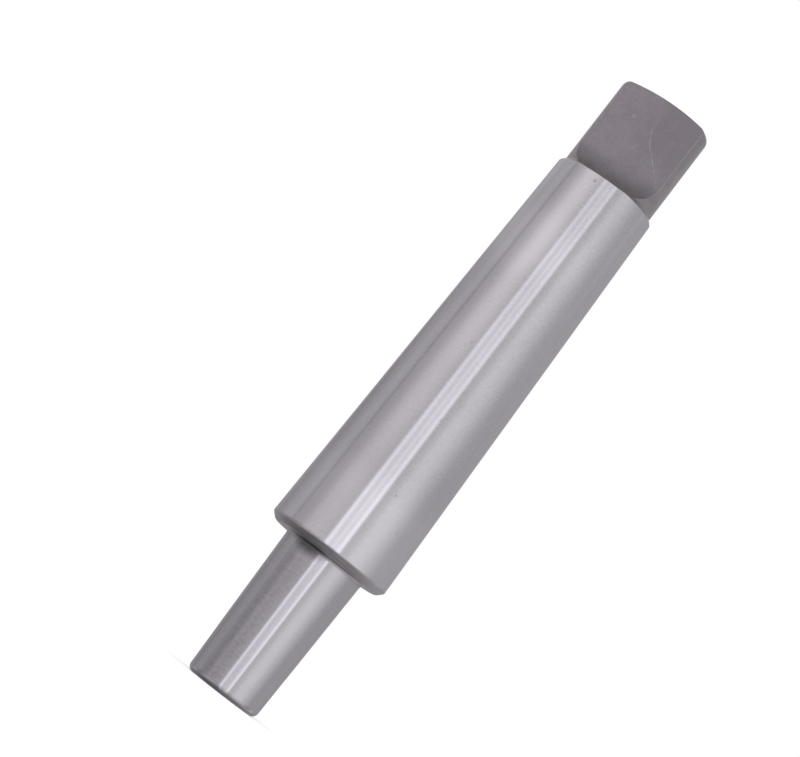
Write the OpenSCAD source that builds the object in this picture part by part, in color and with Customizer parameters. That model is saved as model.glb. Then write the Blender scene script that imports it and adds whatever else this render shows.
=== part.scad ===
// Drill chuck arbor in one piece of steel: a long self-holding taper with a flat tang
// fits the machine spindle, and a short taper carries the chuck.
// Millimetres. It stands on the small end of the chuck taper, and +Z runs to the tang.

/* [Chuck taper] */
// Diameter at the gauge line of the chuck taper
chuck_gauge_d = 15.733; // [13:0.001:19]
// Length in which the chuck taper's diameter changes by 1
chuck_taper = 20.02; // [15:0.01:30]
// Gauge line to the small end
chuck_taper_len = 24.3; // [16:0.1:36]
// Gauge line to the shoulder
chuck_lead = 5; // [2:0.1:10]
// Chamfer round the small end
chuck_chamfer = 0.65; // [0.2:0.05:1.5]
// Fillet at the root, against the shoulder
root_r = 0.3; // [0.1:0.05:1]

/* [Shank taper] */
// Diameter at the gauge line of the shank taper
shank_gauge_d = 23.825; // [22:0.001:30]
// Length in which the shank taper's diameter changes by 1
shank_taper = 19.922; // [16:0.001:26]
// Large end of the shank taper to its gauge line
shank_lead = 5; // [2:0.1:8]
// Ground length of the shank taper
shank_len = 80.1; // [65:0.1:100]
// Chamfer from the shoulder face to the large end
shoulder_chamfer = 1.15; // [0.5:0.05:2]

/* [Tang] */
// Length of the turned end beyond the ground taper
tang_len = 19.85; // [16:0.05:26]
// Step in radius from the ground taper down to the turned end
tang_step = 0.78; // [0.4:0.02:1.6]
// Thickness across the two flats
tang_thick = 7.9; // [6:0.1:11]
// Straight length of each flat, up to the end
flat_len = 13.6; // [9:0.1:16]
// Radius in which the cutter runs out of each flat
cutter_r = 6.5; // [4:0.1:8]
// Radius of the domed end face
dome_r = 40; // [25:1:120]
// Rounding between the end face and the side
end_r = 1; // [0.4:0.1:2.4]

/* [Centre holes] */
// Mouth of the centre hole in the chuck end
chuck_mouth_d = 6.3; // [4:0.1:8]
// Pilot drill of the centre hole in the chuck end
chuck_pilot_d = 3.15; // [2:0.05:3.8]
// Mouth of the centre hole in the tang end
tang_mouth_d = 5; // [3.5:0.1:5.4]
// Pilot drill of the centre hole in the tang end
tang_pilot_d = 2.5; // [1.5:0.05:3.2]
// Straight length of each pilot hole, in pilot diameters
pilot_ratio = 0.8; // [0.4:0.1:1.5]

/* [Hidden] */
$fn = 128;
// How far a cut starts outside the steel
overcut = 1;
// Half the included angle of a centre hole, and of the drill point below it
centre_half = 30;
point_half = 59;

// Heights above the small end of the chuck taper
shoulder_z = chuck_taper_len + chuck_lead;
large_end_z = shoulder_z + shoulder_chamfer;
rim_z = large_end_z + shank_len;
end_z = rim_z + tang_len;
cutter_z = end_z - flat_len;

// Radius of each taper at a height
function chuck_r(z) = (chuck_gauge_d + (z - chuck_taper_len) / chuck_taper) / 2;
function shank_r(z) = (shank_gauge_d - (z - large_end_z - shank_lead) / shank_taper) / 2;
tang_r = shank_r(rim_z) - tang_step;

// Points along an arc, from one angle to another
function arc(centre, r, from, to, steps) =
    [for (i = [0:steps]) centre + r * [cos(from + (to - from) * i / steps),
                                       sin(from + (to - from) * i / steps)]];

// Hollow corner that touches the chuck taper and the shoulder face
chuck_slope = atan(1 / (2 * chuck_taper));
root_c = [chuck_r(shoulder_z - root_r) + root_r / cos(chuck_slope), shoulder_z - root_r];

// Dome of the end face, and the rounding that touches the dome and the side
dome_c = [0, end_z - dome_r];
end_c = [tang_r - end_r,
         dome_c[1] + sqrt(pow(dome_r - end_r, 2) - pow(tang_r - end_r, 2))];
dome_angle = asin((tang_r - end_r) / (dome_r - end_r));

// Outline from the small end of the chuck taper up to the domed end of the tang
outline = concat(
    [
        [0, 0],
        [chuck_r(0) - chuck_chamfer, 0],
        [chuck_r(chuck_chamfer), chuck_chamfer]
    ],
    arc(root_c, root_r, 180 - chuck_slope, 90, 4),
    [
        [shank_r(large_end_z) - shoulder_chamfer, shoulder_z],
        [shank_r(large_end_z), large_end_z],
        [shank_r(rim_z), rim_z],
        [tang_r, rim_z + tang_step]
    ],
    arc(end_c, end_r, 0, 90 - dome_angle, 6),
    arc(dome_c, dome_r, 90 - dome_angle * 7 / 8, 90, 7)
);

// Turned and ground blank, before the flats are milled
module blank() {
    rotate_extrude() polygon(outline);
}

// What the cutter takes off the +Y side: a flat that sweeps out on the cutter's radius
module flat_cut() {
    reach = shank_gauge_d / 2;
    rotate([90, 0, 90])
        linear_extrude(height = shank_gauge_d, center = true) {
            translate([tang_thick / 2, cutter_z])
                square([reach, flat_len + overcut]);
            translate([tang_thick / 2 + cutter_r, cutter_z - cutter_r])
                square([reach, cutter_r + flat_len + overcut]);
            translate([tang_thick / 2 + cutter_r, cutter_z])
                circle(cutter_r);
        }
}

// Centre hole drilled up from z = 0: a cone for the lathe centre, then a pilot hole
module centre_hole(mouth_d, pilot_d) {
    cone_h = (mouth_d - pilot_d) / 2 / tan(centre_half);
    pilot_z = cone_h + pilot_ratio * pilot_d;
    point_h = pilot_d / 2 / tan(point_half);
    translate([0, 0, -overcut])
        cylinder(h = cone_h + overcut,
                 d1 = mouth_d + 2 * overcut * tan(centre_half), d2 = pilot_d);
    cylinder(h = pilot_z, d = pilot_d);
    translate([0, 0, pilot_z]) cylinder(h = point_h, d1 = pilot_d, d2 = 0);
}

// The whole arbor, one solid
module arbor() {
    color([0.74, 0.73, 0.75])
        difference() {
            blank();
            flat_cut();
            mirror([0, 1, 0]) flat_cut();
            centre_hole(chuck_mouth_d, chuck_pilot_d);
            translate([0, 0, end_z])
                mirror([0, 0, 1]) centre_hole(tang_mouth_d, tang_pilot_d);
        }
}

arbor();
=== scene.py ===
import math

import bpy
import numpy as np
from mathutils import Matrix, Vector


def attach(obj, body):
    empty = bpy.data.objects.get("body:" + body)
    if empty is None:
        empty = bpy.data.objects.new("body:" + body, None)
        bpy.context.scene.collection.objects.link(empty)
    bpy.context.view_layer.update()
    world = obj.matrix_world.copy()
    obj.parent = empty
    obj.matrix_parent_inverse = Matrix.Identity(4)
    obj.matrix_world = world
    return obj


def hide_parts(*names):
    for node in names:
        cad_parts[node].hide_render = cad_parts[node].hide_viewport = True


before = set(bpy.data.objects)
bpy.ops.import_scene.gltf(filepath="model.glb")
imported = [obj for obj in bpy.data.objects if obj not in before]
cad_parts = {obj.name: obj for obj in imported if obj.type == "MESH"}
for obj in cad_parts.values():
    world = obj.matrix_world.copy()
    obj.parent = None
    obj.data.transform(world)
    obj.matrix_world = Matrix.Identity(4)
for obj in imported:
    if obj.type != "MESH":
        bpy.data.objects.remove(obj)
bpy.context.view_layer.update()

scene = bpy.context.scene
scene.view_settings.view_transform = "Standard"

# Camera
# A long lens close to the floor, a little to the +X side of the front flat and tipped up.
# The camera is rolled, so the arbor leans across the picture from lower left to upper right.
MM = 0.001
camera_place = Vector((75.904, -376.442, 9.096)) * MM
camera_heading = math.radians(12.689)
camera_tilt = math.radians(7.847)
camera_roll = math.radians(37.705)
forward = Vector((-math.sin(camera_heading) * math.cos(camera_tilt),
                  math.cos(camera_heading) * math.cos(camera_tilt),
                  math.sin(camera_tilt)))
level_right = forward.cross(Vector((0, 0, 1))).normalized()
level_up = level_right.cross(forward)
right = math.cos(camera_roll) * level_right + math.sin(camera_roll) * level_up
up = right.cross(forward)
camera_turn = Matrix((right, up, -forward)).transposed().to_4x4()
camera = bpy.data.objects.new("camera", bpy.data.cameras.new("camera"))
camera.data.sensor_fit = "HORIZONTAL"
camera.data.sensor_width = 36.0
camera.data.lens = 99.638
camera.data.clip_start = 0.01
camera.data.clip_end = 60.0
camera.matrix_world = Matrix.Translation(camera_place) @ camera_turn
scene.collection.objects.link(camera)
scene.camera = camera

# Arbor, the turned and ground blank
# One bar of hardened steel, turned between centres. The short taper for the chuck and the
# long taper for the spindle are then ground, and the shoulder and the ends stay as turned.
chuck_gauge_d, chuck_taper, chuck_taper_len, chuck_lead = 15.733, 20.02, 24.3, 5.0
shank_gauge_d, shank_taper, shank_lead = 23.825, 19.922, 5.0
shank_len, shoulder_chamfer = 80.1, 1.15
tang_len, tang_step, end_r, dome_r = 19.85, 0.78, 1.0, 40.0
chuck_mouth_d, chuck_pilot_d, tang_mouth_d, tang_pilot_d = 6.3, 3.15, 5.0, 2.5
pilot_ratio, centre_half, point_half = 0.8, math.radians(30), math.radians(59)

# Rounds of the corners from the small end up to the foot of the tang, and in the centre holes
tip_r, root_r, shoulder_r, large_end_r, rim_r, foot_r = 1.2, 0.7, 1.2, 0.7, 0.3, 0.4
drill_r, chuck_lip_r, tang_lip_r = 0.1, 0.08, 0.05

shoulder_z = chuck_taper_len + chuck_lead
large_end_z = shoulder_z + shoulder_chamfer
rim_z = large_end_z + shank_len
tang_z = rim_z + tang_step
end_z = rim_z + tang_len


def chuck_r(z):
    """Radius of the chuck taper at height z: it grows by 1 in twice the taper's length."""
    return (chuck_gauge_d + (z - chuck_taper_len) / chuck_taper) / 2


def shank_r(z):
    """Radius of the shank taper at height z: it shrinks by 1 in twice the taper's length."""
    return (shank_gauge_d - (z - large_end_z - shank_lead) / shank_taper) / 2


def softened(corners, near=0.12):
    """Outline through the corners, each (radius, height, round, steps). A corner is replaced by
    an arc of that round which touches both sides, with a point near each end of the arc."""
    out = []
    last = len(corners) - 1
    for i, (r, z, size, steps) in enumerate(corners):
        here = np.array((r, z))
        if i in (0, last) or size == 0:
            out.append(here[None])
            continue
        a = np.array(corners[i - 1][:2]) - here
        b = np.array(corners[i + 1][:2]) - here
        a, b = a / np.linalg.norm(a), b / np.linalg.norm(b)
        half = math.acos(float(np.clip(a @ b, -1, 1))) / 2
        reach = size / math.tan(half)
        bisector = (a + b) / np.linalg.norm(a + b)
        centre = here + bisector * size / math.sin(half)
        sweep = np.linspace(-1, 1, steps + 1) * (math.pi / 2 - half)
        side = (b - a) / np.linalg.norm(b - a)
        arc = centre + size * (np.sin(sweep)[:, None] * side - np.cos(sweep)[:, None] * bisector)
        out.append(np.vstack((here + a * (reach + near), arc, here + b * (reach + near))))
    return np.vstack(out)


def filled(points, step):
    """The same outline with its long straight runs cut into pieces no longer than step."""
    out = [points[:1]]
    for p, q in zip(points[:-1], points[1:]):
        n = max(1, math.ceil(np.linalg.norm(q - p) / step))
        out.append(p + (q - p) * (np.arange(1, n + 1) / n)[:, None])
    return np.vstack(out)


# Outline from the point of the lower centre hole out over the small end and up to the turned
# side, where it stops short of the end. The rim's part of it starts a little below the rim.
side_stop, rim_margin = 4.0, 1.0
tang_r = shank_r(rim_z) - tang_step
chuck_cone = (chuck_mouth_d - chuck_pilot_d) / 2 / math.tan(centre_half)
chuck_pilot = chuck_cone + pilot_ratio * chuck_pilot_d
chuck_point = chuck_pilot + chuck_pilot_d / 2 / math.tan(point_half)
chuck_end = softened([
    (0, chuck_point, 0, 0),
    (chuck_pilot_d / 2, chuck_pilot, drill_r, 2),
    (chuck_pilot_d / 2, chuck_cone, drill_r, 2),
    (chuck_mouth_d / 2, 0, chuck_lip_r, 3),
    (chuck_r(0), 0, tip_r, 12),
    (chuck_r(shoulder_z), shoulder_z, root_r, 9),
    (shank_r(large_end_z) - shoulder_chamfer, shoulder_z, shoulder_r, 6),
    (shank_r(large_end_z), large_end_z, large_end_r, 6),
    (shank_r(rim_z), rim_z, rim_r, 5),
    (tang_r, tang_z, foot_r, 4),
    (tang_r, end_z - side_stop, 0, 0),
])
rim_line = chuck_end[np.searchsorted(chuck_end[:, 1], rim_z - rim_margin):]

# Tang
# The turned end is left unground and dull from hardening. A cutter has milled a flat on each
# side of it, and where the cutter lifts out its round has swept a hollow into the taper's rim.
tang_thick, flat_len, cutter_r = 7.9, 13.6, 6.5
cutter_z = end_z - flat_len
edge_r, edge_gap = 0.14, 0.1
flat_columns, edge_steps, side_columns, sweep_rows = 26, 4, 38, 44


def cut_depth(z):
    """Distance of the milled face from the middle plane at height z: half the tang's thickness
    along the flat, and below it the cutter's circle, which reaches out from the flat."""
    drop = np.clip(cutter_z - z, 0, cutter_r)
    return tang_thick / 2 + cutter_r - np.sqrt(cutter_r ** 2 - drop ** 2)


def cut_z(depth):
    """Height at which the cutter's circle is at that distance from the middle plane."""
    return cutter_z - np.sqrt(cutter_r ** 2 - (tang_thick / 2 + cutter_r - depth) ** 2)


def blank_r(z):
    """Radius of the blank: the shank taper, then the outline from its rim up the turned end."""
    return np.where(z < rim_line[0, 1], shank_r(z), np.interp(z, rim_line[:, 1], rim_line[:, 0]))


def quarter_section(r, h, even=0.4):
    """A quarter of the section where a flat at distance h cuts a circle of radius r, from the
    middle of the flat to the side. Columns are spread over the flat, closer near its edge, then
    round the small edge arc that touches the flat and the circle, then evenly on the circle."""
    r, h = np.broadcast_arrays(np.atleast_1d(r).astype(float), np.atleast_1d(h).astype(float))
    r, h = r[:, None], h[:, None]
    across = np.sqrt(np.maximum((r - edge_r) ** 2 - (h - edge_r) ** 2, 1e-6))
    t = np.linspace(0, 1, flat_columns)
    spread = even * t + (1 - even) * np.sin(t * math.pi / 2)
    x1, y1 = (across - edge_gap) * spread, h + 0 * spread
    turn = np.arctan2(across, h - edge_r)
    a = turn * np.linspace(0, 1, edge_steps + 1)
    x2, y2 = across + edge_r * np.sin(a), h - edge_r + edge_r * np.cos(a)
    start = turn + edge_gap / r
    a = start + (math.pi / 2 - start) * np.linspace(0, 1, side_columns)
    x3, y3 = r * np.sin(a), r * np.cos(a)
    return np.hstack((x1, x2, x3)), np.hstack((y1, y2, y3))


# Rows of the milled part: even steps of the cutter's turn, and the rim's own corners. The first
# row reaches out to bite_half from the middle of the flat, just below the rim.
bite_half, bite_drop, row_gap = math.radians(20), 0.17, 0.03
meet_depth = float(blank_r(rim_z - bite_drop)) * math.cos(bite_half)
meet_z = cut_z(meet_depth)
meet_turn = math.asin((tang_thick / 2 + cutter_r - meet_depth) / cutter_r)
sweep_z = cutter_z - cutter_r * np.cos(np.linspace(meet_turn, math.pi / 2, sweep_rows))
corner_z = rim_line[(rim_line[:, 1] > meet_z + row_gap) & (rim_line[:, 1] < cutter_z), 1]
clear = np.abs(sweep_z[:, None] - corner_z[None]).min(1) > row_gap
clear[[0, -1]] = True
milled_z = np.sort(np.concatenate((sweep_z[clear], corner_z)))
milled_x, milled_y = quarter_section(blank_r(milled_z), cut_depth(milled_z))
columns = milled_x.shape[1]

# The first of these rows follows the edge where the cutter bites into the ground taper
bite_x = milled_x[0, :flat_columns]
bite_y = np.sqrt(blank_r(np.full(flat_columns, meet_z)) ** 2 - bite_x ** 2)
bite_z = milled_z[0] * np.ones(columns)
bite_z[:flat_columns] = cut_z(bite_y)
bite_angle = np.arctan2(milled_x[0], milled_y[0])
bite_sin, bite_cos = np.sin(bite_angle), np.cos(bite_angle)
milled_x[0], milled_y[0] = blank_r(bite_z) * bite_sin, blank_r(bite_z) * bite_cos
milled_z = milled_z[:, None] * np.ones(columns)
milled_z[0] = bite_z

# Turned end, from the side round the end's corner and over the dome to the lip of the centre
# hole, whose cone meets the dome at mouth_r
mouth_r, lip, corner_steps, dome_steps = 2.4566, 0.08, 13, 30
end_c = np.array((tang_r - end_r,
                  end_z - dome_r + math.sqrt((dome_r - end_r) ** 2 - (tang_r - end_r) ** 2)))
dome_angle = math.asin((tang_r - end_r) / (dome_r - end_r))
tang_cone = (tang_mouth_d - tang_pilot_d) / 2 / math.tan(centre_half)
tang_pilot = tang_cone + pilot_ratio * tang_pilot_d
tang_point = tang_pilot + tang_pilot_d / 2 / math.tan(point_half)
a = np.linspace(0, math.pi / 2 - dome_angle, corner_steps)[:, None]
corner_arc = end_c + end_r * np.hstack((np.cos(a), np.sin(a)))
a = np.linspace(dome_angle, math.asin((mouth_r + lip) / dome_r), dome_steps)[1:, None]
dome_arc = np.array((0, end_z - dome_r)) + dome_r * np.hstack((np.sin(a), np.cos(a)))
end_line = np.vstack((corner_arc, dome_arc))
end_s = np.concatenate(([0], np.cumsum(np.linalg.norm(np.diff(end_line, axis=0), axis=1))))
hole = softened([
    (*end_line[-1], 0, 0),
    (mouth_r, end_line[-1][1] - lip, tang_lip_r, 3),
    (tang_pilot_d / 2, end_z - tang_cone, drill_r, 2),
    (tang_pilot_d / 2, end_z - tang_pilot, drill_r, 2),
    (0, end_z - tang_point, 0, 0),
], near=0.05)

# Each column meets the turned end at its own height, which draws the curved top of the flat. A
# small bevel breaks the edge there, and the rows lie closer beside it.
flat_bevel, side_bevel = 0.1, 0.02
on_flat = np.arange(columns) < flat_columns + edge_steps
bevel = np.where(on_flat, flat_bevel, side_bevel)
top_x, top_y = quarter_section(tang_r, tang_thick / 2)
top_x, top_y = top_x[0], top_y[0]
reach = np.minimum(np.hypot(top_x, top_y), tang_r)
meet_s = np.interp(-reach, -end_line[:, 0], end_s)
meet_top = np.interp(meet_s, end_s, end_line[:, 1])
rise = np.concatenate((np.linspace(0, 0.985, 12)[1:], [1.0]))[:, None]
flat_top_z = cutter_z + (meet_top - bevel - cutter_z) * rise
along = np.concatenate(([0.0, 0.012], np.linspace(0.03, 1, 34)))[:, None]
end_at = meet_s + bevel + (end_s[-1] - meet_s - bevel) * along
over_r, over_z = np.interp(end_at, end_s, end_line[:, 0]), np.interp(end_at, end_s, end_line[:, 1])
top_angle = np.arctan2(top_x, top_y)
top_sin, top_cos = np.sin(top_angle), np.cos(top_angle)


def full_turn(quarter, signs=(1, 1, 1, 1)):
    """Columns for the whole turn from those of one quarter: the quarter, its mirror image, and
    both again, with the columns in which they meet taken once, and each times its sign."""
    parts = (quarter, quarter[:, -2::-1], quarter[:, 1:], quarter[:, -2:0:-1])
    return np.hstack([sign * part for sign, part in zip(signs, parts)])


# All rows, from the pole of the lower centre hole to the pole of the upper one. Below the bite
# lie a level row and one that follows the bite's edge.
level_drop, follow_drop, shank_step, hole_step = 0.16, 0.06, 3.2, 0.8
lower = chuck_end[:len(chuck_end) - len(rim_line)]
lower = np.vstack((lower, [[blank_r(meet_z - level_drop), meet_z - level_drop]]))
lower = filled(lower, shank_step)
hole = filled(hole, hole_step)
below_z = bite_z - follow_drop
below_r = blank_r(below_z)
rows_x = np.vstack((lower[1:, :1] * bite_sin, below_r * bite_sin, milled_x,
                    top_x * np.ones_like(rise), over_r * top_sin, hole[1:-1, :1] * top_sin))
rows_y = np.vstack((lower[1:, :1] * bite_cos, below_r * bite_cos, milled_y,
                    top_y * np.ones_like(rise), over_r * top_cos, hole[1:-1, :1] * top_cos))
rows_z = np.vstack((lower[1:, 1:] * np.ones(columns), below_z, milled_z,
                    flat_top_z, over_z, hole[1:-1, 1:] * np.ones(columns)))
rows_x = full_turn(rows_x, (1, 1, -1, -1))
rows_y = full_turn(rows_y, (-1, 1, 1, -1))
rows_z = full_turn(rows_z)
rows, around = rows_x.shape

# Faces: four-sided between the rows, and a fan of triangles at each pole
points = np.stack((rows_x, rows_y, rows_z), -1).reshape(-1, 3)
points = np.vstack((points, (0, 0, lower[0, 1]), (0, 0, hole[-1, 1]))) * MM
grid = np.arange(rows * around).reshape(rows, around)
ahead = np.roll(grid, -1, 1)
quads = np.stack((grid[:-1], ahead[:-1], ahead[1:], grid[1:]), -1).reshape(-1, 4)
first_fan = np.stack((np.full(around, rows * around), ahead[0], grid[0]), -1)
last_fan = np.stack((grid[-1], ahead[-1], np.full(around, rows * around + 1)), -1)

# Finish of each face, by its place in the list of materials. The small end with its corner, the
# shoulder with its rounds, and the upper centre hole are as turned. The milled hollow is dull
# from its edge in the ground taper, and the sides from the foot of the rim's chamfer.
is_ground, is_turned, is_flat, is_side = 0, 1, 2, 3
end_face_margin, turned_corner, turned_past = 0.5, 0.6, 0.1
side_below, dome_share = 0.08, 0.6
row_z = (rows_z[:-1].mean(1) + rows_z[1:].mean(1)) / 2
row_r = np.hypot(rows_x[:-1], rows_y[:-1]).mean(1)
tang_from = len(lower)
dome_from = tang_from + len(milled_z) + len(rise)
end_from = dome_from + len(along) - 1
row_number = np.arange(rows - 1)
below_tang, above_bite = row_number < tang_from, row_number > tang_from
small_end = (row_r < chuck_r(0) - end_face_margin) | (row_z < turned_corner)
shoulder = (row_z > shoulder_z - root_r) & (row_z < large_end_z + turned_past)
flat_face = np.tile(np.concatenate((on_flat[:-1], on_flat[-2::-1])), 2)
finish = np.full((rows - 1, around), is_ground)
finish[below_tang & (small_end | shoulder)] = is_turned
finish[tang_from:, flat_face] = is_flat
finish[(above_bite & (row_z > tang_z - side_below))[:, None] & ~flat_face] = is_side
point_r = np.hypot(rows_x, rows_y)
face_r = (point_r[1:] + np.roll(point_r[:-1], -1, 1)) / 2
finish[(row_number >= dome_from)[:, None] & (face_r < tang_r - dome_share * end_r)] = is_flat
finish[end_from:] = is_turned

# Wear: most on the small round between the flat and the turned side, a little on the side, and
# none on the dome
round_wear, round_wear_from, side_wear, side_wear_from = 0.4, 14, 0.12, 2
side_from = flat_columns + edge_steps + 1
edge_wear = np.zeros((rows, columns))
edge_wear[tang_from + round_wear_from:end_from, flat_columns:side_from] = round_wear
edge_wear[tang_from + side_wear_from:end_from, side_from:] = side_wear
edge_wear = full_turn(edge_wear)
edge_wear[dome_from:] *= np.clip((point_r[dome_from:] - tang_r + end_r) / (0.5 * end_r), 0, 1)

arbor_mesh = bpy.data.meshes.new("arbor_steel")
arbor_mesh.from_pydata(points.tolist(), [], quads.tolist() + first_fan.tolist() + last_fan.tolist())
arbor_mesh.polygons.foreach_set("use_smooth", np.ones(len(arbor_mesh.polygons), bool))
face_finish = np.concatenate((finish.ravel(), np.full(2 * around, is_turned)))
wear_layer = arbor_mesh.attributes.new("edge_wear", "FLOAT", "POINT")
wear_layer.data.foreach_set("value", np.concatenate((edge_wear.ravel(), (0, 0))))
arbor_mesh.update()
arbor = bpy.data.objects.new("arbor_steel", arbor_mesh)
scene.collection.objects.link(arbor)


def new_finish(name):
    """An empty node material with a Principled shader, and its node tree."""
    material = bpy.data.materials.new(name)
    material.use_nodes = True
    tree = material.node_tree
    return material, tree, tree.nodes["Principled BSDF"]


def add(tree, kind, links=(), **settings):
    """Adds a node of that kind. links are (socket, source or value), and settings are properties."""
    made = tree.nodes.new(kind)
    for key, value in settings.items():
        setattr(made, key, value)
    for socket, source in links:
        if isinstance(source, bpy.types.NodeSocket):
            tree.links.new(source, made.inputs[socket])
        else:
            made.inputs[socket].default_value = source
    return made


def math_node(tree, operation, a, b=0.0, clamp=False):
    """The output of a Math node on two sources or numbers."""
    made = add(tree, "ShaderNodeMath", ((0, a), (1, b)), operation=operation, use_clamp=clamp)
    return made.outputs[0]


def times(tree, a, b):
    """The two multiplied together."""
    return math_node(tree, "MULTIPLY", a, b)


def noise(tree, scale, stretch=(1, 1, 1), detail=3.0, roughness=0.5):
    """Noise in Object coordinates, scale in cycles per metre, stretched by a Mapping node."""
    place = add(tree, "ShaderNodeTexCoord").outputs["Object"]
    mapped = add(tree, "ShaderNodeMapping", ((0, place), ("Scale", stretch))).outputs[0]
    return add(tree, "ShaderNodeTexNoise", (("Vector", mapped), ("Scale", scale), ("Detail", detail),
                                            ("Roughness", roughness))).outputs["Fac"]


def ranged(tree, source, low, high, to_low, to_high, smooth=False):
    """Maps low..high of the source to to_low..to_high, clamped, in a straight line or smoothly."""
    return add(tree, "ShaderNodeMapRange",
               ((0, source), (1, low), (2, high), (3, to_low), (4, to_high)),
               interpolation_type="SMOOTHSTEP" if smooth else "LINEAR", clamp=True).outputs[0]


def tinted(tree, factor, dark, light):
    """A colour between dark and light."""
    mix = add(tree, "ShaderNodeMix", (("Factor", factor),), data_type="RGBA")
    mix.inputs[6].default_value = (*dark, 1)
    mix.inputs[7].default_value = (*light, 1)
    return mix.outputs[2]


def towards(tree, colour, amount, other):
    """The colour mixed towards the other one by the amount."""
    mix = add(tree, "ShaderNodeMix", (("Factor", amount),), data_type="RGBA")
    tree.links.new(colour, mix.inputs[6])
    mix.inputs[7].default_value = (*other, 1)
    return mix.outputs[2]


def position(tree):
    """The place on the piece in millimetres, as one vector and as its x, y and z."""
    place = add(tree, "ShaderNodeTexCoord").outputs["Object"]
    place = add(tree, "ShaderNodeVectorMath", ((0, place), (3, 1 / MM)), operation="SCALE").outputs[0]
    return place, add(tree, "ShaderNodeSeparateXYZ", ((0, place),)).outputs


def spot(tree, centre, size, squash=(1, 1, 1), core=0.3):
    """1 in the core of a spot round the centre, in millimetres, fading to 0 at its size. Where
    squash is above 1 the spot is that much narrower."""
    place, _ = position(tree)
    place = add(tree, "ShaderNodeVectorMath", ((0, place), (1, centre)), operation="SUBTRACT").outputs[0]
    place = add(tree, "ShaderNodeVectorMath", ((0, place), (1, squash)), operation="MULTIPLY").outputs[0]
    away = add(tree, "ShaderNodeVectorMath", ((0, place),), operation="LENGTH").outputs["Value"]
    return ranged(tree, away, size * core, size, 1, 0, smooth=True)


# Ground finish: fine lines round the axis, which spread a reflection along the axis, a finer
# grain and a faint cloudiness. The chuck taper is ground smoother than the shank.
chuck_polish, ground_depth, ground_relief = 0.45, 0.4, 0.000004
ground, tree, shader = new_finish("ground_steel")
up_z = position(tree)[1][2]
lines = noise(tree, 1000, stretch=(0.10, 0.10, 4.0), detail=4.0, roughness=0.7)
grain = noise(tree, 2600, stretch=(0.6, 0.6, 1.0), detail=2.0)
cloud = noise(tree, 160, stretch=(1, 1, 0.35), detail=3.0)
shade = math_node(tree, "ADD", times(tree, lines, 0.25), times(tree, cloud, 0.3))
shade = math_node(tree, "ADD", shade, times(tree, grain, 0.5))
coarse = ranged(tree, up_z, shoulder_z - 0.1, shoulder_z + 0.3, chuck_polish, 1)
shade = times(tree, math_node(tree, "SUBTRACT", shade, 0.5), coarse)
steel_colour = tinted(tree, ranged(tree, shade, -0.2, 0.2, 0, 1),
                      (0.516, 0.505, 0.525), (0.624, 0.615, 0.635))

# Two small stains and a scatter of pits
stain_colour = (0.20, 0.16, 0.17)
stains = math_node(tree, "ADD", spot(tree, (-0.70, -10.04, 108.96), 0.45),
                   spot(tree, (5.40, -10.37, 44.24), 0.38))
pits = ranged(tree, noise(tree, 420, detail=1.0), 0.76, 0.80, 0, 0.35, smooth=True)
stains = math_node(tree, "ADD", stains, pits, clamp=True)
steel_colour = towards(tree, steel_colour, times(tree, stains, 0.45), stain_colour)

# Painted highlight: the steel's colour is made lighter at the shank's large end, fading out 11
# to 18 mm above it, and in a cloud near the rim, standing in for a brighter reflection there
painted_highlight_colour = (0.75, 0.74, 0.76)
painted_highlight = times(tree, ranged(tree, up_z, shoulder_z + 0.5, shoulder_z + 0.9, 0, 1),
               ranged(tree, up_z, 41, 48, 0.30, 0, smooth=True))
painted_highlight_cloud = times(tree, spot(tree, (-4.3, -9.9, 94.0), 13, (1, 1, 1.4)), 0.36)
painted_highlight = math_node(tree, "ADD", painted_highlight, painted_highlight_cloud)
steel_colour = towards(tree, steel_colour, painted_highlight, painted_highlight_colour)

# Painted shade: darker in the corner under the shoulder, where the shoulder shades the taper, and round
# the foot
painted_shade_colour = (0.11, 0.10, 0.105)
painted_shade_at, painted_shade_size, painted_shade_squash = (-1.6, -7.8, 29.4), 4.8, (1, 1, 1.7)
painted_shade = times(tree, spot(tree, painted_shade_at, painted_shade_size, painted_shade_squash), 0.85)
painted_shade = math_node(tree, "ADD", painted_shade, ranged(tree, up_z, 0.7, 1.25, 0.3, 0))
tree.links.new(towards(tree, steel_colour, painted_shade, painted_shade_colour), shader.inputs["Base Color"])
shader.inputs["Metallic"].default_value = 1.0
shader.inputs["Anisotropic"].default_value = 0.97
shader.inputs["Anisotropic Rotation"].default_value = 0.25
round_axis = add(tree, "ShaderNodeTangent", direction_type="RADIAL", axis="Z").outputs[0]
tree.links.new(round_axis, shader.inputs["Tangent"])
rough = ranged(tree, math_node(tree, "ADD", lines, grain), 0.7, 1.3, 0.165, 0.205)
tree.links.new(rough, shader.inputs["Roughness"])
depth = times(tree, coarse, ground_depth)
bump = add(tree, "ShaderNodeBump", (("Strength", depth), ("Distance", ground_relief),
                                    ("Height", lines)))
fine = add(tree, "ShaderNodeBump", (("Strength", depth), ("Distance", ground_relief),
                                    ("Height", grain), ("Normal", bump.outputs[0])))
tree.links.new(fine.outputs[0], shader.inputs["Normal"])

# Turned finish: coarser rings, a little darker, with the same painted shade
turned, tree, shader = new_finish("turned_steel")
up_z = position(tree)[1][2]
rings = noise(tree, 1000, stretch=(0.3, 0.3, 3.0), detail=3.0, roughness=0.6)
ring_colour = tinted(tree, ranged(tree, rings, 0.3, 0.7, 0, 1), (0.43, 0.41, 0.43), (0.52, 0.50, 0.52))
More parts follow.
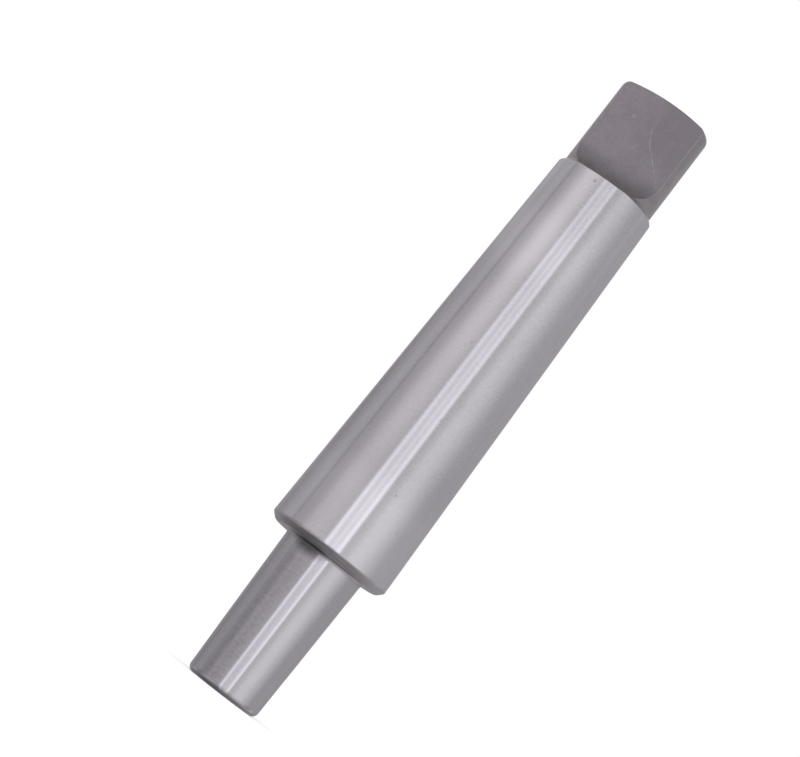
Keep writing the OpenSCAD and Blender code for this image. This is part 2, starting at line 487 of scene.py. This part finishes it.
# Painted shade under the shoulder, weaker on the shoulder itself, and darker towards the small end
painted_shade = times(tree, spot(tree, painted_shade_at, painted_shade_size, painted_shade_squash),
                ranged(tree, up_z, shoulder_z - 0.2, shoulder_z, 0.85, 0.4))
painted_shade = math_node(tree, "ADD", painted_shade, ranged(tree, up_z, 1, 2, 0.22, 0))
tree.links.new(towards(tree, ring_colour, painted_shade, painted_shade_colour), shader.inputs["Base Color"])
shader.inputs["Metallic"].default_value = 1.0
tree.links.new(ranged(tree, rings, 0.3, 0.7, 0.30, 0.40), shader.inputs["Roughness"])
bump = add(tree, "ShaderNodeBump", (("Strength", 0.3), ("Distance", 0.00001), ("Height", rings)))
tree.links.new(bump.outputs[0], shader.inputs["Normal"])


def scratch(tree, path, width):
    """1 along a thin line on the front flat, fading towards its ends, and 0 beside it. The path
    is (x, z) points in millimetres from low to high. A curve node gives the line's x at each
    height."""
    x, y, z = position(tree)[1]
    xs, zs = np.array(path).T
    share = ranged(tree, z, zs[0], zs[-1], 0, 1)
    bend = tree.nodes.new("ShaderNodeFloatCurve")
    line = bend.mapping.curves[0]
    low, span = xs.min(), max(np.ptp(xs), 0.01)
    for i, (px, pz) in enumerate(path):
        at = ((pz - zs[0]) / (zs[-1] - zs[0]), (px - low) / span)
        if i in (0, len(path) - 1):
            line.points[0 if i == 0 else -1].location = at
        else:
            line.points.new(*at)
    bend.mapping.update()
    tree.links.new(share, bend.inputs["Value"])
    at_x = ranged(tree, bend.outputs[0], 0, 1, low, low + span)
    off = math_node(tree, "ABSOLUTE", math_node(tree, "SUBTRACT", x, at_x))
    inside = times(tree, ranged(tree, share, 0, 0.3, 0.1, 1), ranged(tree, share, 0.6, 1, 1, 0.1))
    front_side = ranged(tree, y, -3, -3.5, 0, 1)
    return times(tree, ranged(tree, off, 0, width, 1, 0, smooth=True), times(tree, inside, front_side))


# Dull finish of the tang: grey from hardening, smudged, with a few light scratches, a light dab
# on the front flat, and brighter edges where the dull skin has worn off. Painted shade makes the
# tang lighter towards -X and darker towards +X, and darkens the upper right of the front flat
dull, tree, shader = new_finish("dull_tang_steel")
smudge = noise(tree, 330, detail=4.0, roughness=0.6)
speckle = noise(tree, 2200, detail=2.0)
tone = math_node(tree, "ADD", times(tree, smudge, 0.7), times(tree, speckle, 0.3))
# Painted shade: lighter towards -X and darker towards +X, and darker on the upper right of the front
# flat
tone = math_node(tree, "ADD", tone, ranged(tree, position(tree)[1][0], -6, 6, 0.05, -0.04))
tone = math_node(tree, "SUBTRACT", tone, times(tree, spot(tree, (5.5, -3.95, 126), 10), 0.12))
skin = tinted(tree, ranged(tree, tone, 0.35, 0.65, 0, 1), (0.265, 0.245, 0.262), (0.335, 0.312, 0.332))
long_scratch = scratch(tree, [(8.5, 114.9), (6.93, 116.5), (5.14, 118.41), (3.61, 119.95), (2.22, 121.3),
                              (1.19, 122.93), (0.47, 125.64)], 0.17)
short_scratch = scratch(tree, [(-0.79, 118.57), (-0.1, 119.9), (0.53, 120.96)], 0.2)
low_scratch = scratch(tree, [(5.6, 116.9), (6.6, 117.35), (7.6, 117.5)], 0.25)
faint = math_node(tree, "MAXIMUM", short_scratch, low_scratch)
scratches = math_node(tree, "MAXIMUM", times(tree, long_scratch, 0.75), times(tree, faint, 0.35))
scratches = times(tree, scratches, ranged(tree, speckle, 0.4, 0.6, 0.3, 1.0))
dab = times(tree, spot(tree, (-3.51, -3.95, 124.42), 0.55, (1.6, 1, 0.8)), 0.35)
rubbed = add(tree, "ShaderNodeAttribute", attribute_name="edge_wear").outputs["Fac"]
rubbed = times(tree, rubbed, ranged(tree, smudge, 0.35, 0.65, 0.5, 1.0))
bare = math_node(tree, "MAXIMUM", math_node(tree, "MAXIMUM", scratches, dab), rubbed)
tree.links.new(towards(tree, skin, bare, (0.50, 0.48, 0.50)), shader.inputs["Base Color"])
shader.inputs["Metallic"].default_value = 0.85
tree.links.new(ranged(tree, smudge, 0.3, 0.7, 0.48, 0.58), shader.inputs["Roughness"])
bump = add(tree, "ShaderNodeBump", (("Strength", 0.3), ("Distance", 0.00002), ("Height", speckle)))
tree.links.new(bump.outputs[0], shader.inputs["Normal"])

# The turned sides have the same skin with a powdery scale on it, which is paler at a low angle
scaly = dull.copy()
scaly.name = "dull_side_steel"
scaly.node_tree.nodes["Principled BSDF"].inputs["Sheen Weight"].default_value = 0.25

for material in (ground, turned, dull, scaly):
    arbor_mesh.materials.append(material)
arbor_mesh.polygons.foreach_set("material_index", face_finish)
arbor_mesh.update()
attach(arbor, "root")
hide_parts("arbor")

# Floor
# A plain pale table top, wide enough to reach the horizon. It is matt, and it keeps the soft
# shadow under the arbor. Metal reflects the studio beyond it.
floor_half = 12.0
floor_mesh = bpy.data.meshes.new("floor")
floor_mesh.from_pydata([(-floor_half, -floor_half, 0), (floor_half, -floor_half, 0),
                        (floor_half, floor_half, 0), (-floor_half, floor_half, 0)], [], [(0, 1, 2, 3)])
floor = bpy.data.objects.new("floor", floor_mesh)
scene.collection.objects.link(floor)
pale, tree, shader = new_finish("pale_floor")
shader.inputs["Base Color"].default_value = (0.86, 0.86, 0.86, 1)
shader.inputs["Roughness"].default_value = 1.0
shader.inputs["Specular IOR Level"].default_value = 0.0
shader.inputs["Emission Color"].default_value = (1, 1, 1, 1)
seen = add(tree, "ShaderNodeLightPath").outputs["Is Camera Ray"]
tree.links.new(times(tree, seen, 0.3), shader.inputs["Emission Strength"])
floor_mesh.materials.append(pale)
floor.visible_glossy = False

# Studio
# White all round for the camera. Metal sees a grey room with a bright strip behind the camera,
# two broad soft panels at its sides, a plainer strip at the back, and weaker strips low down.
camera_azimuth = 11.4
world = bpy.data.worlds.new("studio")
scene.world = world
world.use_nodes = True
tree = world.node_tree
tree.nodes.clear()
direction = add(tree, "ShaderNodeTexCoord").outputs["Generated"]
split = add(tree, "ShaderNodeSeparateXYZ", ((0, direction),))
height = split.outputs[2]
level = add(tree, "ShaderNodeCombineXYZ", ((0, split.outputs[0]), (1, split.outputs[1]), (2, 0.0)))
level = add(tree, "ShaderNodeVectorMath", ((0, level.outputs[0]),), operation="NORMALIZE").outputs[0]


def panel(azimuth, inner, outer):
    """1 where the level direction is within inner degrees of azimuth, which counts from the
    camera's own azimuth towards +X, and 0 beyond outer degrees, with a smooth fall between."""
    a = math.radians(camera_azimuth + azimuth)
    facing = add(tree, "ShaderNodeVectorMath", ((0, level), (1, (math.sin(a), -math.cos(a), 0))),
                 operation="DOT_PRODUCT").outputs["Value"]
    cosine = math_node(tree, "MINIMUM", math_node(tree, "MAXIMUM", facing, -1.0), 1.0)
    apart = math_node(tree, "ARCCOSINE", cosine)
    return ranged(tree, apart, math.radians(inner), math.radians(outer), 1, 0, smooth=True)


def by_height(low, high, at_low, at_high, smooth=False):
    """Goes from at_low to at_high as the direction rises from low to high degrees."""
    low_sine, high_sine = math.sin(math.radians(low)), math.sin(math.radians(high))
    return ranged(tree, height, low_sine, high_sine, at_low, at_high, smooth)


def product(*sources):
    """All sources multiplied together."""
    result = sources[0]
    for source in sources[1:]:
        result = times(tree, result, source)
    return result


def painted(amount, colour):
    """The colour scaled by the amount."""
    return add(tree, "ShaderNodeVectorMath", ((0, colour), (3, amount)), operation="SCALE").outputs[0]


# Bands of height. In the camera's view the shank reflects those above the level, its large end
# reflects the patch, and the chuck taper reflects those below the level.
above = by_height(2, 7, 0, 1, smooth=True)
deep = by_height(-40, -12, 1, 0, smooth=True)
below = math_node(tree, "SUBTRACT", math_node(tree, "SUBTRACT", 1.0, above), deep)
higher = by_height(8, 19, 0, 1)
fading = by_height(7, 26, 1.0, 0.5)
patch = product(by_height(2, 6, 0, 1, smooth=True), by_height(7, 11, 1, 0, smooth=True))
low = product(by_height(-14, -8, 1, 0, smooth=True), by_height(-40, -26, 0, 1, smooth=True))
side_line = by_height(-5, 0, 0.3, 1)
plain, violet, bluish = (1, 1, 1), (0.965, 0.95, 1.06), (0.98, 0.97, 1.03)
rosy, pink, cream = (1.01, 0.94, 0.98), (1.01, 0.95, 0.98), (1.0, 0.98, 1.0)

# Each panel has an azimuth, an inner and an outer half width in degrees, a strength, which is
# below 0 where it darkens the grey, a colour, and the bands that it is kept to
panels = (
    # The strip behind the camera, with its bright edges and middle
    (-0.5, 13, 18, 0.26, violet, fading),
    (-0.5, 13, 18, 0.16, violet, above, fading),
    (-12.8, 1.5, 5, 0.17, violet, fading),
    (11.3, 1.5, 5, 0.17, violet, fading),
    (0, 1, 4.5, 1.0, violet, above, fading, by_height(7, 12, 0.60, 0.20)),
    (-13.1, 1.2, 4.8, 0.34, violet, below, side_line),
    (11.8, 1.2, 4.8, 0.34, violet, below, side_line),
    (-2, 13, 19, 0.60, bluish, patch),
    # Beside the strip and below it
    (40, 20, 60, 0.08, plain, patch),
    (24, 3, 12, -0.07, plain),
    (-38, 8, 24, -0.14, plain, below),
    (0, 1, 7, -0.13, plain, below),
    # The two broad panels
    (-45, 0, 48, 0.46, rosy, above),
    (-40, 4, 34, 0.14, pink, higher),
    (-108, 8, 40, 0.08, pink, above),
    (45, 0, 60, 0.40, cream),
    (68, 5, 34, -0.16, plain, higher),
    # The sides and the back
    (-90, 1, 4.5, -0.15, plain, by_height(2, 8, 0, 1)),
    (-60, 12, 42, -0.20, plain, below),
    (-70, 3, 12, -0.03, plain, below),
    (-118, 20, 70, -0.16, plain, below),
    (125, 10, 55, -0.08, plain, below),
    (-136, 8, 45, -0.23, plain, deep),
    (100, 15, 50, 0.20, plain, deep),
    (-170, 0, 72, -0.17, plain, by_height(-12, -2, 0, 1)),
    (180, 9, 12, 0.50, violet, above, fading),
    (78, 8, 26, -0.08, plain, below),
    (-150, 2, 18, 0.10, plain, below),
    (-132, 10, 26, -0.20, plain, by_height(6, 9, 0, 1), by_height(9, 13, 1, 0)),
    (-146, 6, 24, 0.22, plain, by_height(10, 17, 0, 1)),
    (104, 3, 12, 0.08, plain, by_height(12, 17, 0, 1)),
    (-64, 2, 12, -0.05, plain, below),
    # Low down, mostly reflected to an eye that looks from above the level
    (-50, 8, 42, 0.40, plain, low),
    (-122, 5, 15, 0.24, violet, low),
    (122, 5, 15, 0.24, violet, low),
    (-90, 2, 18, -0.09, plain, low),
    (-90, 3, 16, 0.04, plain, below),
    (92, 2, 18, -0.12, plain, low),
    (180, 6, 36, -0.10, plain, low),
)
room_grey = painted(1.0, (0.545, 0.53, 0.55))
for azimuth, inner, outer, strength, colour, *bands in panels:
    panel_light = painted(product(panel(azimuth, inner, outer), *bands, strength), colour)
    room_grey = add(tree, "ShaderNodeVectorMath", ((0, room_grey), (1, panel_light)),
                    operation="ADD").outputs[0]
overhead = by_height(15, 72, 1.0, 0.45, smooth=True)
underfoot = by_height(-75, -25, 0.44, 1.0, smooth=True)
room_grey = painted(product(overhead, underfoot), room_grey)
path = add(tree, "ShaderNodeLightPath")
mirrored = math_node(tree, "ADD", path.outputs["Is Glossy Ray"], path.outputs["Is Transmission Ray"],
                     clamp=True)
white = add(tree, "ShaderNodeBackground", (("Color", (1, 1, 1, 1)), ("Strength", 1.0))).outputs[0]
soft = add(tree, "ShaderNodeBackground", (("Color", (1, 1, 1, 1)), ("Strength", 0.8))).outputs[0]
reflected = add(tree, "ShaderNodeBackground", (("Color", room_grey), ("Strength", 1.0))).outputs[0]
lit = add(tree, "ShaderNodeMixShader", ((0, mirrored), (1, soft), (2, reflected))).outputs[0]
shown = add(tree, "ShaderNodeMixShader", ((0, path.outputs["Is Camera Ray"]), (1, lit), (2, white)))
add(tree, "ShaderNodeOutputWorld", (("Surface", shown.outputs[0]),))

# Lamp
# One plain soft light from above the camera, even over the whole table. It gives the arbor its
# soft shadow, and metal doesn't reflect it.
lamp = bpy.data.objects.new("soft_light", bpy.data.lights.new("soft_light", "SUN"))
lamp.data.energy = 0.75
lamp.data.angle = math.radians(25)
lamp_from = Vector((0.05, -0.24, 0.95))
lamp.matrix_world = (-lamp_from).to_track_quat("-Z", "Y").to_matrix().to_4x4()
lamp.visible_glossy = False
scene.collection.objects.link(lamp)
